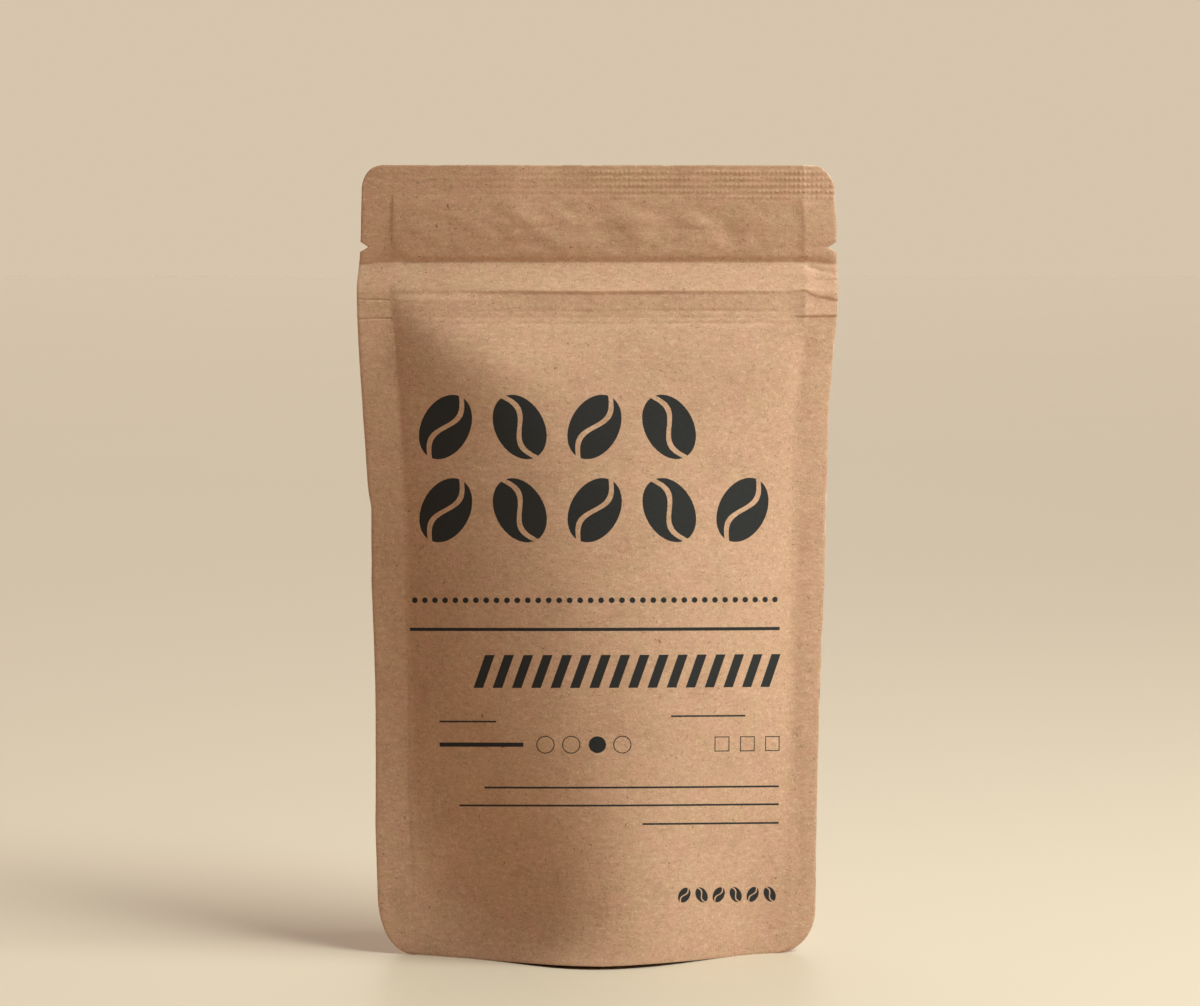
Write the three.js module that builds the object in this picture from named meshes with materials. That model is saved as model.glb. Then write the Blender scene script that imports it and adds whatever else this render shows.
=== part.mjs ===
// A filled stand-up pouch of kraft paper, shut: two panels sealed along both sides and across the top,
// with a press-to-close zip, a tear notch in each side and a gusset that opens the foot.
// Millimetres, +Z up, the front panel facing -Y, standing on Z = 0 with the origin under its middle.
import * as THREE from 'three';

// Overall size
const WIDTH = 120; // laid flat, across both side seals
const HEIGHT = 200;
const FOOT_DEPTH = 18; // each panel's foot, out from the plane of the side seals
const SHEET = 0.5; // both panels pressed together, as at the seals

// Seals
const SIDE_SEAL = 9;
const TOP_SEAL = 8;

// Header, zip and tear notches, as heights above the foot
const ZIP_TOP = 175.8; // the fold where the header meets the zip
const ZIP_LIP = 168.4;
const ZIP_FOOT = 162;
const NOTCH_HEIGHT = 179.6;
const NOTCH_DEPTH = 2;
const NOTCH_MOUTH = 2.6;

// How far a panel stands out from the seals at the zip and in the header
const ZIP_FOOT_DEPTH = 2.2;
const ZIP_LIP_DEPTH = 1.2;
const ZIP_TOP_DEPTH = 0.15;
const LIP_STEP = 0.5; // the lip overhangs the tape below it by this
const LIP_DROP = 0.4;
const HEADER_DEPTH = 0.8;
const HEADER_PULL = 0.6; // each edge of the puffed header is drawn in by this

// The plane of the seals: bowed to the back at both sides, folded back at the top of the zip
const SIDE_BOW = 2;
const FIN_SWEEP = Math.tan(THREE.MathUtils.degToRad(8)); // beside the belly the seals turn further back
const SWEEP_FROM = 135; // up to this height in full, and not at all at the zip
const FOLD_BACK = 2;
const HEADER_BEND = 1.7; // above the fold the header comes forward again by this
const HEADER_BEND_LENGTH = 4.5;
const HEADER_LEAN = 0.05; // and leans forward by this share of its height

// Rounded corners, wider in height than across
const TOP_CORNER = { across: 5.2, up: 5.9 };
const FOOT_CORNER = { across: 7, up: 11.5 };

// The filled belly
const BELLY_OPENING = 0.23; // share of the height below the zip in which most of the belly opens
const SQUARENESS = 6; // added to the power of a panel's section at the zip, which is 2 at the belly
const SQUARE_FROM = 110; // height where the section starts to square up
const SQUARE_LATE = 6; // the higher, the nearer to the zip it does
const SHOULDER = 150; // above this height the belly closes sharply to the zip
const BOW_HEIGHT = 55; // below this the panel gathers into a ridge over the middle of the foot
const RIDGE_SHIFT = 0.09; // the ridge lies this share of the half width to the right
const DRAW_IN = 2 / 3; // share of depth squared over half width that a bulging sheet narrows by

// The foot: a flat rim, and the gusset lifted inside it
const RIM = 1.4;
const GUSSET_WALL = 0.8;
const GUSSET_LIFT = 3.2;
const GUSSET_FOLD = 0.5; // the gusset's middle fold stands higher by this
const GUSSET_OPENING = 5; // depth of the foot where the gusset reaches its full lift
const GUSSET_FLOOR = 0.2; // share of the foot's depth where the flat of the gusset meets its fold
const GUSSET_CREASE = 0.03; // half the fold's own width, as a share of the foot's depth
const GUSSET_TAPER = 0.01; // the gusset's ends are drawn in by this share of its width

// Steps of the surface
const PANEL_STEPS = 30;
const SEAL_STEPS = 2;
const CORNER_STEPS = 7;

const KRAFT = new THREE.MeshStandardMaterial({ color: 0xb98d66, roughness: 0.85, metalness: 0 });

const { lerp, clamp, smoothstep } = THREE.MathUtils;

// Evenly spaced values from start to end, without the end itself
function steps(start, end, count) {
  return Array.from({ length: count }, (_, i) => lerp(start, end, i / count));
}

// How far the middle of a filled panel stands out from the seals at a height below the zip
function bellyDepth(z) {
  const below = 1 - z / ZIP_FOOT;
  const open = (1 - Math.exp(-below / BELLY_OPENING)) / (1 - Math.exp(-1 / BELLY_OPENING));
  return ZIP_FOOT_DEPTH + (FOOT_DEPTH - ZIP_FOOT_DEPTH) * open;
}

// The same across the zip, with the lip
function zipDepth(z) {
  const lipFoot = ZIP_LIP - LIP_DROP;
  if (z < lipFoot) {
    return lerp(ZIP_FOOT_DEPTH, ZIP_LIP_DEPTH, (z - ZIP_FOOT) / (lipFoot - ZIP_FOOT));
  }
  if (z < ZIP_LIP) {
    return ZIP_LIP_DEPTH + (LIP_STEP * (z - lipFoot)) / LIP_DROP;
  }
  return lerp(ZIP_LIP_DEPTH + LIP_STEP, ZIP_TOP_DEPTH, (z - ZIP_LIP) / (ZIP_TOP - ZIP_LIP));
}

// The same in the header, which puffs a little between the fold and the top seal
function headerDepth(z) {
  const sealFoot = HEIGHT - TOP_SEAL;
  const middle = (ZIP_TOP + sealFoot) / 2;
  const closing = smoothstep(z, middle, sealFoot);
  const puff = smoothstep(z, ZIP_TOP, middle) * (1 - closing);
  return lerp(ZIP_TOP_DEPTH, 0, closing) + HEADER_DEPTH * puff;
}

function middleDepth(z) {
  if (z < ZIP_FOOT) {
    return bellyDepth(z);
  }
  return z < ZIP_TOP ? zipDepth(z) : headerDepth(z);
}

// A panel's section from one side seal (-1) to the other (1): a bow at the foot, an arc at the belly,
// and nearly flat at the zip
function section(across, z) {
  const rise = clamp((z - SQUARE_FROM) / (ZIP_FOOT - SQUARE_FROM), 0, 1);
  const power = 2 + SQUARENESS * rise ** SQUARE_LATE;
  const bow = 1 - smoothstep(z, 0, BOW_HEIGHT);
  const shifted = across - RIDGE_SHIFT * bow * (1 - across * across);
  const ridge = 0.5 + 0.5 * Math.cos(Math.PI * shifted);
  const arc = 1 - Math.abs(shifted) ** power;
  return lerp(arc, ridge, bow);
}

// Half the width at a height, before the corners and notches: a sheet that bulges draws its edges in
function fullHalfWidth(z) {
  const belly = z < ZIP_FOOT ? bellyDepth(z) : 0;
  const drawn = (DRAW_IN * belly ** 2) / (WIDTH / 2 - SIDE_SEAL);
  const header = HEADER_PULL * smoothstep(z, ZIP_LIP, ZIP_TOP + TOP_SEAL);
  return WIDTH / 2 - drawn - header;
}

// What a rounded corner takes off the half width, at a height above or below where its curve begins
function cornerCut(corner, past) {
  const share = clamp(past / corner.up, 0, 1);
  return corner.across * (1 - Math.sqrt(1 - share * share));
}

function notchCut(z) {
  return NOTCH_DEPTH * Math.max(0, 1 - Math.abs(z - NOTCH_HEIGHT) / (NOTCH_MOUTH / 2));
}

function halfWidth(z) {
  const foot = cornerCut(FOOT_CORNER, FOOT_CORNER.up - z);
  const top = cornerCut(TOP_CORNER, z - (HEIGHT - TOP_CORNER.up));
  return fullHalfWidth(z) - foot - top - notchCut(z);
}

// The columns of a panel at a height, from the left edge to the right: each has its x, its place across
// the panel between the side seals, and how far it lies out in a seal
function columns(z) {
  const edge = halfWidth(z);
  const seal = fullHalfWidth(z) - SIDE_SEAL;
  const fin = steps(edge, seal, SEAL_STEPS).map((x) => ({ x, out: x - seal }));
  const left = fin.map(({ x, out }) => ({ x: -x, across: -1, out }));
  const panel = steps(-1, 1, PANEL_STEPS).map((across) => ({ x: across * seal, across, out: 0 }));
  const right = fin.map(({ x, out }) => ({ x, across: 1, out })).reverse();
  return [...left, ...panel, { x: seal, across: 1, out: 0 }, ...right];
}

// How far back the seals lie at a height: folded back at the top of the zip, then forward again
function foldPath(z) {
  const above = Math.max(0, z - ZIP_TOP);
  const header = HEADER_LEAN * above + HEADER_BEND * (1 - Math.exp(-above / HEADER_BEND_LENGTH));
  return FOLD_BACK * clamp((z - ZIP_LIP) / (ZIP_TOP - ZIP_LIP), 0, 1) - header;
}

// Y of the plane in which the two panels are sealed together
function sealPlane(x, out, z) {
  const bow = SIDE_BOW * (x / (WIDTH / 2)) ** 2;
  const sweep = FIN_SWEEP * out * (1 - smoothstep(z, SWEEP_FROM, ZIP_FOOT));
  return bow + sweep + foldPath(z);
}

// A closed ring round the pouch at a height: along the front, then back along the back
function ring(z) {
  const side = (sign) =>
    columns(z).map(({ x, across, out }) => {
      const depth = SHEET / 2 + middleDepth(z) * section(across, z);
      return new THREE.Vector3(x, sealPlane(x, out, z) + sign * depth, z);
    });
  return [...side(-1), ...side(1).reverse()];
}

// A ring under the foot: the foot's own edge, lifted and drawn in by a share of the way to its middle line
function gussetRing(foot, inset, lift) {
  return foot.map((p, i) => {
    const middle = (p.y + foot[foot.length - 1 - i].y) / 2;
    const depth = Math.abs(p.y - middle);
    const open = clamp((depth - SHEET / 2) / GUSSET_OPENING, 0, 1);
    return new THREE.Vector3(p.x * (1 - inset * GUSSET_TAPER), lerp(p.y, middle, inset), lift * open);
  });
}

// The heights of the rings, closest where the surface turns
function heights() {
  const topCorner = HEIGHT - TOP_CORNER.up;
  const sealFoot = HEIGHT - TOP_SEAL;
  const notchFoot = NOTCH_HEIGHT - NOTCH_MOUTH / 2;
  const notchTop = NOTCH_HEIGHT + NOTCH_MOUTH / 2;
  const turn = steps(0, Math.PI / 2, CORNER_STEPS);
  return [
    ...turn.map((a) => FOOT_CORNER.up * (1 - Math.cos(a))),
    ...steps(FOOT_CORNER.up, SQUARE_FROM, 12),
    ...steps(SQUARE_FROM, SHOULDER, 6),
    ...steps(SHOULDER, ZIP_FOOT, 5),
    ...steps(ZIP_FOOT, ZIP_LIP - LIP_DROP, 2),
    ZIP_LIP - LIP_DROP,
    ...steps(ZIP_LIP, ZIP_TOP, 2),
    ...steps(ZIP_TOP, notchFoot, 2),
    notchFoot,
    NOTCH_HEIGHT,
    ...steps(notchTop, sealFoot, 4),
    sealFoot,
    ...turn.map((a) => topCorner + TOP_CORNER.up * Math.sin(a)),
    HEIGHT,
  ];
}

// Every ring in order, from the gusset's middle fold out to the rim and then up the panels
function rings() {
  const foot = ring(0);
  const rim = RIM / FOOT_DEPTH;
  const wall = (RIM + GUSSET_WALL) / FOOT_DEPTH;
  const gusset = [
    gussetRing(foot, 1 - GUSSET_CREASE, GUSSET_LIFT + GUSSET_FOLD),
    gussetRing(foot, 1 - GUSSET_FLOOR, GUSSET_LIFT),
    gussetRing(foot, wall, GUSSET_LIFT),
    gussetRing(foot, rim, 0),
  ];
  return [...gusset, ...heights().map(ring)];
}

// A solid lofted through rings, each end closed by joining the front of its ring to the back
function loft(stack) {
  const count = stack[0].length;
  const faces = [];
  const quad = (a, b, c, d) => faces.push(a, b, c, a, c, d);
  const opposite = (i) => count - 1 - i;
  for (let level = 0; level + 1 < stack.length; level += 1) {
    for (let i = 0; i < count; i += 1) {
      const next = (i + 1) % count;
      const low = level * count;
      quad(low + i, low + next, low + count + next, low + count + i);
    }
  }
  const top = (stack.length - 1) * count;
  for (let i = 0; i + 1 < count / 2; i += 1) {
    quad(i, opposite(i), opposite(i + 1), i + 1);
    quad(top + i, top + i + 1, top + opposite(i + 1), top + opposite(i));
  }
  const geometry = new THREE.BufferGeometry().setFromPoints(stack.flat());
  geometry.setIndex(faces);
  geometry.computeVertexNormals();
  return geometry;
}

const pouch = new THREE.Mesh(loft(rings()), KRAFT);
pouch.name = 'pouch';

const part = new THREE.Group();
part.add(pouch);

export default part;
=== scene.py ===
"""Looks of a filled kraft paper coffee pouch: the fine form of its panels, seals, zip and gusset,
its paper and print, and a plain studio. Shapes are worked out in millimetres in the CAD frame:
X to the right, Z up, the front panel facing -Y."""

import math

import bpy
import numpy as np
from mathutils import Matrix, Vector


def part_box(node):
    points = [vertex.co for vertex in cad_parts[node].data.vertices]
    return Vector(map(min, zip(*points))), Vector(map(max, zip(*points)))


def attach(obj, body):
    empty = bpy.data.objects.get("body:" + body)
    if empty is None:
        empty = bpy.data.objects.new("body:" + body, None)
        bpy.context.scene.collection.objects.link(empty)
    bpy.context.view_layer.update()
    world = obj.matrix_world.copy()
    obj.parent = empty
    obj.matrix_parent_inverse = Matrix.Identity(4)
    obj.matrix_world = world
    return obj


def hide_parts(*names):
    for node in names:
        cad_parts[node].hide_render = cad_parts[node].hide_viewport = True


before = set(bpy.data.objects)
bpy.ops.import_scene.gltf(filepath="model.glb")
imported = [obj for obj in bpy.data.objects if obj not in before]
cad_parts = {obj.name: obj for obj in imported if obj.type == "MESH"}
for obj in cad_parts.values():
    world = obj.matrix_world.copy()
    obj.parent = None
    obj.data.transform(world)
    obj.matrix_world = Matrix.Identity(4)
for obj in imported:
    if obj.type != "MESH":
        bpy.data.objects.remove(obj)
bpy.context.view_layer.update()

MM = 0.001
NODE = "pouch"

# Overall size, from the CAD solid
box_low, box_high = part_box(NODE)
HALF_WIDTH = (box_high.x - box_low.x) / 2 / MM
HEIGHT = box_high.z / MM
SIDE_SEAL = 9  # as the CAD solid has both
PANEL_HALF = HALF_WIDTH - SIDE_SEAL
TOP_SEAL = 8
FOOT_DEPTH = 18  # each panel's foot, out from the plane of the seals
SHEET = 0.5  # both panels pressed together, as at the seals
CHAMFER = 0.3  # the cut edges are this soft
CUT_SHARE = 0.5  # and the sheet keeps this share of its thickness there

# Rounded corners
TOP_CORNER = (5.2, 5.9)  # across and up
FOOT_CORNERS = ((8.7, 14.0), (9.5, 11.5))  # left and right
ARC = 2
TOP_ROUNDNESS = (ARC, 1.6)  # of the left and the right one

# A course is a row of places with the value at each. Its places are heights above the foot, or lie
# along x if its name says so. A span sets in over its first pair of places and ends over its second.

# Side seals: their true widths, and how softly a panel leaves them
LEFT_SEAL = ((25, 9.6), (42, 8.9), (103, 9.1), (130, 9.4), (156, 9.4), (165, 8.6), (180, 7.7))
RIGHT_SEAL = (
    (0, 10.0), (4, 8.6), (14, 6.8), (25, 6.4), (57, 7.3),
    (88, 8.1), (125, 8.8), (140, 8.2), (150, 8.0), (165, 8.2),
)
LEFT_FILLET = ((0, 3.0), (25, 3.0), (42, 1.5), (72, 1.2), (103, 0.6), (145, 0.4))
RIGHT_FILLET = ((0, 3.0), (14, 3.0), (28, 1.8), (90, 1.5), (150, 1.3))
FILLET_STEPS = 7

# The crease along the right seal's inner edge: its depth, and its widths on the panel and on the seal
RIGHT_CREASE = ((20, 0.0), (40, 0.08), (130, 0.08), (146, 0.15), (158, 0.15), (161, 0.0))
CREASE_WIDTHS = (1.4, 1.4)

# How far a side edge lies outside its even course, and small waves in it: height, length and seed
LEFT_EDGE = (
    (10, 0.1), (33, 0.65), (66, 0.1), (94, 0.35), (105, 0), (114, -0.4),
    (119, 0.2), (152, 0.4), (170, 0.5), (177, 0.1), (188, -0.15), (196, -0.5),
)
RIGHT_EDGE = (
    (10, -0.1), (40, 0), (66, 0.3), (94, 0.7), (125, 0.1), (140, -0.4),
    (155, 0.05), (163, 0.45), (180, 0.75), (184, 0.85), (188, 0.5), (192, 0.15),
)
EDGE_WAVES = ((0.06, 5, 21),)
EDGE_FROM = (4, 16)

# Header, zip and tear notches, as heights above the foot
ZIP_TOP = 175.8
ZIP_LIP = 168.7
ZIP_FOOT = 162.0
NOTCH_HEIGHT = 179.6
NOTCH_DEPTH = 2.0
NOTCH_MOUTH = 2.6

# How far a panel stands out from the seals at the zip, and where it falls flat in the header
ZIP_FOOT_DEPTH = 2.2
ZIP_TOP_DEPTH = 0.55
ZIP_DEPTHS = ((ZIP_FOOT, ZIP_FOOT_DEPTH), (ZIP_LIP, 1.2), (ZIP_TOP, ZIP_TOP_DEPTH))
HEADER_FALL = (ZIP_TOP + 1, 189.5)
HEADER_PULL = 0.6  # the header is narrower by this at each side

# The header's panels stand proud of the left seal, and the right seal's inner edge of the panels
LEFT_STEP = 0.3
LEFT_STEP_WAVES = (0.4, 3, 1)
LEFT_STEP_EVEN = 0.8
LEFT_STEP_CURL = 4.0  # at its foot the step turns inwards by this
CURL_END = (ZIP_TOP + 0.5, ZIP_TOP + 5)
RIGHT_STEP = 0.2
RIGHT_STEP_WIDTH = 1.5
STEP_WIDTH = 0.45
STEP_SPAN = ((ZIP_TOP + 0.2, ZIP_TOP + 1.5), (189, 194))

# Soft ridges of the header, and two hollows: from, to and height. Each is steeper on its lower side.
HEADER_RIDGES = (
    ((-22, 189.7), (-5, 178), 0.36),
    ((6, 189), (11, 181.5), 0.2),
    ((13, 188), (19, 180), -0.1),
    ((27, 189), (34, 181), -0.26),
    ((36, 190), (43, 181), 0.2),
)
RIDGE_SIDES = (4.2, 2.8)
RIDGE_SPAN = ((-0.3, 0.2), (0.8, 1.3))  # as shares of its length

# Dents of the header, slanted and small, and of the belly: height, and length across and up
SLANTED_DENTS = (0.12, 9, 4.2)
SLANT_COSINE, SLANT_SINE = 0.75, 0.66
SMALL_DENTS = (0.1, 2.7, 2.2)
HEADER_SPAN = ((ZIP_TOP + 0.5, ZIP_TOP + 4), (187, HEIGHT - TOP_SEAL))
BELLY_DENTS = ((0.32, 34, 41), (0.09, 12, 15))
BELLY_SPAN = ((6, 40), (120, ZIP_FOOT))

# Relief of the zip: a lip that overhangs, and two grooves below it. They wander and fade along x.
LIP_STEP = 0.34
LIP_DROP = 1.1
LIP_FADE = 1.3
LIP_END = (ZIP_TOP - 2, ZIP_TOP)
LIP_ALONG_X = ((-51, 0.4), (-28, 0.7), (-15, 0.95), (15, 1.0), (35, 0.65), (51, 0.5))
LIP_WANDER = ((0.13, 18, 0), (0.07, 4, 1))
LIP_WAVES = ((0.25, 5, 2),)
GROOVES = ((163.5, 0.18), (160.4, 0.22))  # height and depth of each
GROOVE_WIDTH = 0.5
GROOVES_ALONG_X = ((-46, 0.1), (-20, 0.5), (10, 0.9), (38, 0.95), (46, 0.5), (51, 0.4))
GROOVE_WAVES = (0.5, 5, 1.6)
GROOVE_EVEN = 0.8

# The crushed right end of the zip: heights of its creases at the seal's inner edge and at the cut edge
UPPER_CREASE = (174.7, 172.7)
MIDDLE_CREASE = (170.6, 171.2)
MIDDLE_HASTE = 3  # the middle one climbs faster, then runs level
LOWER_CREASE = (168.9, 166.4)
LOWER_CURVE = 0.65
FOOT_CREASE = 162.4
END_TOP = 178
LOWER_DROP = 0.5  # small steps below the lower crease and the foot's
FOOT_DROP = 0.35
END_RISES = (0.05, -0.1, 0.72, -0.3, 0.5, -0.45)  # of each facet, from the top down
END_FADE = 14
UPPER_DEPTHS = (0.36, 0.2)  # near the panel and further out
UPPER_CHANGE = (0.1, 0.6)
LOWER_DEPTHS = (0.1, 0.08, 0.12)  # of the other three creases
CREASE_REACHES = (0.7, 0.3, 0.17, 0.17)  # of all four

# The crushed left end: one facet, and two thin creases
LEFT_END = (172, 161.6, 150)  # its top, its foot and where it has faded out
LEFT_END_RISE = 0.15
LEFT_CREASE = (166.4, 0.19, 0.17)  # height of the upper one, depth and reach of both

# Where across an end's facets and its creases set in, how the creases jog and how uneven they are
RIGHT_END_FROM = ((0.93, 1.0), (0.99, 1.06))
LEFT_END_FROM = ((0.8, 1.0), (1.0, 1.1))
END_JOG = ((0.2, 2.3, 15), (0.08, 0.9, 18))
END_WAVES = (0.5, 2.9, 3)
END_EVEN = 0.9
END_BULGE = (52, 172.5, 2.4, 0.35)  # beside the right one: x, height, reach and rise

# The filled belly
BELLY_OPENING = 0.25  # share of the height below the zip in which most of the belly opens
SQUARENESS = 6  # its sections grow squarer by this towards the zip
SQUARE_FROM = 110
SQUARE_LATE = 4
BOW_HEIGHT = 75  # the bow of the foot fades out at this height
BOW_SHIFT = 0.08
BOW_FULLNESS = 0.95
DRAW_IN = 2 / 3

# The left shoulder: it stands out more, and has a flat facet with this slope beside the seal
SHOULDER = (0.2, 150, 10)  # share of the depth, height and reach
SHOULDER_END = (-0.6, 0.1)
LEFT_FACET = ((100, 2.0), (125, 0.6), (140, 0.47), (150, 0.42), (160, 0.38))
FACET_START = 0.4  # how far outside the seal's inner edge it starts
FACET_CRISPNESS = 5.0
LEAST_DEPTH = 1e-5
LEAST_FACET = 1e-4

# The zip's strip is flatter by this share at its left
STRIP_FLAT = 0.6
STRIP_FLAT_FROM = (166, 169)
STRIP_FLAT_END = (-0.9, -0.2)

# The plane of the seals: bowed to the back at both sides, and folded back at the top of the zip
SIDE_BOW = 2.0
FOOT_BOW = (0.0, 1.0)  # at the foot, left and right
FOOT_BOW_HEIGHT = 60
SEAL_RIPPLES = (0.12, 9, 14)
RIPPLES_FROM = (0, 0.3)
# The slope by which the seals turn further back beside the belly
LEFT_SWEEP = ((0, 0.03), (28, 0.07), (66, 0.16), (102, 0.26), (140, 0.1), (162, 0.0))
RIGHT_SWEEP = (
    (45, 0.1), (75, 0.145), (100, 0.155), (125, 0.18), (142, 0.18),
    (155, 0.155), (166, 0.16), (171, 0.05), (176, 0.04), (180, 0.06),
)
RIGHT_CURL = 0.25  # at its inner edge the right seal's slope is less by this share
RIGHT_CURL_END = (156, 162)
FOLD_BACK = 2.25
FOLD_CURVE = 1.45  # towards the left the zip's strip turns back more at its top than at its lip
FOLD_CURVE_END = (-45, -5)
FOLD_DROOP = 0.65  # the fold's ends lie lower
HEADER_BEND = 0.8  # the header comes forward again by this
HEADER_BEND_LENGTH = 4.5
HEADER_LEAN = 0.115
LEFT_LEAN = 0.05  # the left third of the header leans further by this
LEFT_LEAN_END = (-26, -8)
CORNER_BEND = (1.2, 15)  # how far the right foot corner is bent forward, and from what height
CORNER_CURVE = 1.2
CORNER_FROM = (15, 48)

# The top seal's pressed ridges, each broken into short dashes, and fainter towards the left
RIDGE_COUNT = 5
RIDGE_FIRST = 1.8  # the top one, below the top edge
RIDGE_PITCH = 1.58
RIDGE_HEIGHT = 0.18
RIDGE_WAVES = (0.5, 7, 1.6)
RIDGE_EVEN = 0.75
PRESSED_SPAN = ((-0.5, -0.25), (RIDGE_COUNT - 1.5, RIDGE_COUNT - 0.5))  # in ridges from the top one
DASH_PITCH = 1.15
DASH_GAP = 0.4  # share of its height that a ridge keeps between dashes
FAINT_SHARE = 0.15
FAINT_END = (-0.7 * HALF_WIDTH, 0.5 * HALF_WIDTH)

# The foot
FOOT_LIFT = 0.9  # the middle of each foot edge stands off the ground
FOOT_LIFT_HEIGHT = 8
FOOT_LIFT_MIDDLE = 0.05
FOOT_LIFT_FROM = (0.25, 0.85)
FOOT_FLARE = (2.3, 18)  # how far the front's left spreads at the foot, and from what height
FLARE_SPAN = ((-52, -36), (-14, 12))
FOOT_CUT = 0.22  # height of the pale cut edge
RIM = 0.6
GUSSET_LIFT = 3.2
GUSSET_FOLD = 0.5
GUSSET_OPENING = 5.0
GUSSET_CREASE = 0.03
GUSSET_SHARES = (0.85, 0.1, 10)  # of the way to its fold: first, last and number
GUSSET_CURVE = 5
GUSSET_WRINKLES = (0.25, 9, 6)
GUSSET_NARROWING = 0.004

# The full belly lifts the print, the more the lower it is. A place without print has its height on the
# flat sheet set far below the foot, and the gusset counts as far from the cut edges.
PRINT_LIFT = 0.0012
PRINT_TOP = 181
NO_PRINT = -20.0
FAR_FROM_CUT = 5.0

# Steps of the surface
PANEL_STEPS = 90
SEAL_STEPS = 10
CORNER_STEPS = 14
NOTCH_STEPS = 8
RIDGE_STEPS = 8
DASH_STEPS = 4
FOOT_RINGS = 6
SHOULDER_FROM, ZIP_FROM, HEADER_FROM = 150, 160, ZIP_TOP + 0.7
BELLY_STEP, SHOULDER_STEP, ZIP_STEP, FOLD_STEP, HEADER_STEP = 2.0, 0.8, 0.2, 0.3, 0.5
LEAST_STEP = 0.15
RING_MARGIN, TOP_MARGIN = 0.3, 0.1
SHARP_ANGLE = math.radians(45)

# Seeds of the noises that have none of their own
PANEL_SEEDS = {-1: 40, 1: 60}  # of the front and the back
ZIP_SEED = 9  # more than the panel's
END_SEED = 16
STEP_SEED = 17
RIPPLE_SEED = 5
RIDGE_SEED = 33
GUSSET_SEED = 81
LATTICE = 64  # random values along each side of a noise

# Kraft paper, as linear colours
KRAFT_ROSE = (0.573, 0.3, 0.187)
KRAFT_OLIVE = (0.548, 0.307, 0.178)
KRAFT_DARK = (0.34, 0.17, 0.093)
KRAFT_PALE = (0.775, 0.475, 0.32)
FIBRE_DARK = (0.10, 0.05, 0.028)
PAPER_CORE = (0.70, 0.48, 0.32)
INK = (0.009, 0.011, 0.012)
INK_SHARE = 0.98
INK_BLEED = 0.14
PAPER_ROUGHNESS = 0.8
EDGE_ROUGHNESS = 0.85
PAPER_SHINE = 0.25

# Sizes of the paper's stretched patterns, in millimetres, and their turns
FLECK = (1.3, 0.8, 0.44)
STREAK = (2.8, 1.2, 1.0)
LUMP = (2.0, 1.4, 1.2)
HAIR = (3.6, 3.0, 2.2)
LAYER = (1.5, 0.17, 1.5)
FLECK_TURNS = (0.1, -0.3, 0.6, 1.5)
HAIR_TURN = 0.5

# Tones over the tint: pattern, the values over which it sets in, strength and colour
TINT_RANGE = (0.35, 0.65)
TONES = (
    ("mottle", 0.48, 0.78, 0.35, KRAFT_DARK),
    ("mottle", 0.46, 0.2, 0.22, KRAFT_PALE),
    ("streaks", 0.5, 0.8, 0.3, KRAFT_PALE),
    ("streaks", 0.5, 0.2, 0.3, KRAFT_DARK),
    ("grain", 0.5, 0.8, 0.38, KRAFT_PALE),
    ("grain", 0.5, 0.2, 0.42, KRAFT_DARK),
    ("flecks", 0.64, 0.78, 0.45, KRAFT_PALE),
    ("hollows", 0.65, 0.79, 0.68, KRAFT_DARK),
)
RELIEF = (("flecks", 0.025), ("hollows", -0.025), ("grain", 0.01), ("lumps", 0.075))

# Dark hairs, worn cut edges and the layers in a cut edge
HAIR_THIN = (0.014, 0.005)
HAIR_PATCHES = (0.65, 0.70)
HAIR_STRENGTH = 0.75
WEAR_PATCHES = (0.45, 0.75)
WEAR_REACH = 0.45
WEAR_FADE = (0.05, -0.2)
WEAR_STRENGTH = 0.8
LAYER_RANGE = (0.4, 0.65)
EDGE_GRAIN = (0.5, 0.8)
EDGE_GRAIN_STRENGTH = 0.4

# Print, in millimetres on the front panel. It stands in a column between these sides.
PRINT_LEFT = -47.5
PRINT_RIGHT = 46.0
PRINT_SOFT = 0.07
BEAN_LONG, BEAN_SHORT = 8.6, 6.1
BEAN_TILT = math.radians(28)
BEAN_WAVE, BEAN_SPLIT = 0.3, 0.11  # as shares of its short half
BEAN_ROWS = ((134.5, 4), (113.5, 5))  # height and number of beans
BEAN_PITCH = 18.6
DOT_LINE = (90.7, 36, 0.72)  # height, number and radius
SLANT_BAND = (72.6, 4.2, -31.0, 16)  # height, half height, left end and number of bars
SLANT = 0.35
ROAST_DOTS = (53.9, (-13.3, -6.9, -0.4, 5.8), 2, 2.15)  # height, places, the filled one, radius
TICK_BOXES = (53.9, (31.0, 37.6, 44.2), 1.8)  # height, places, half size
FOOT_BEANS = (15.1, 6, 0.24)  # height, number and size beside the large ones
STROKE = 0.24
# Lines: left and right end, height and half thickness
LINES = (
    (PRINT_LEFT, PRINT_RIGHT, 83.3, 0.42),
    (-40.0, -25.6, 59.8, 0.22),
    (-40.0, -18.8, 53.9, 0.55),
    (18.0, 37.0, 61.1, 0.22),
    (-28.6, PRINT_RIGHT, 42.9, 0.24),
    (-35.0, PRINT_RIGHT, 38.3, 0.24),
    (10.8, PRINT_RIGHT, 33.5, 0.24),
)

# Studio, in metres. A way points from the pouch towards a light.
FLOOR_SIZE = 30.0
FLOOR_COLOUR = (0.607, 0.484, 0.37)
FLOOR_CLOUD = 1.04  # its clouds are paler by this
FLOOR_ROUGHNESS = 0.42
FLOOR_SHINE = 0.3
BACKDROP = (0.678, 0.56, 0.42)
AMBIENT = (0.052, 0.034, 0.036)
KEY_WAY = (0.641, -0.299, 0.707)
KEY_COLOUR = (0.764, 0.897, 0.868)
NEAR_DISTANCE = 0.7
NEAR_SIZE = 0.4
NEAR_POWER = 4.6

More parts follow.
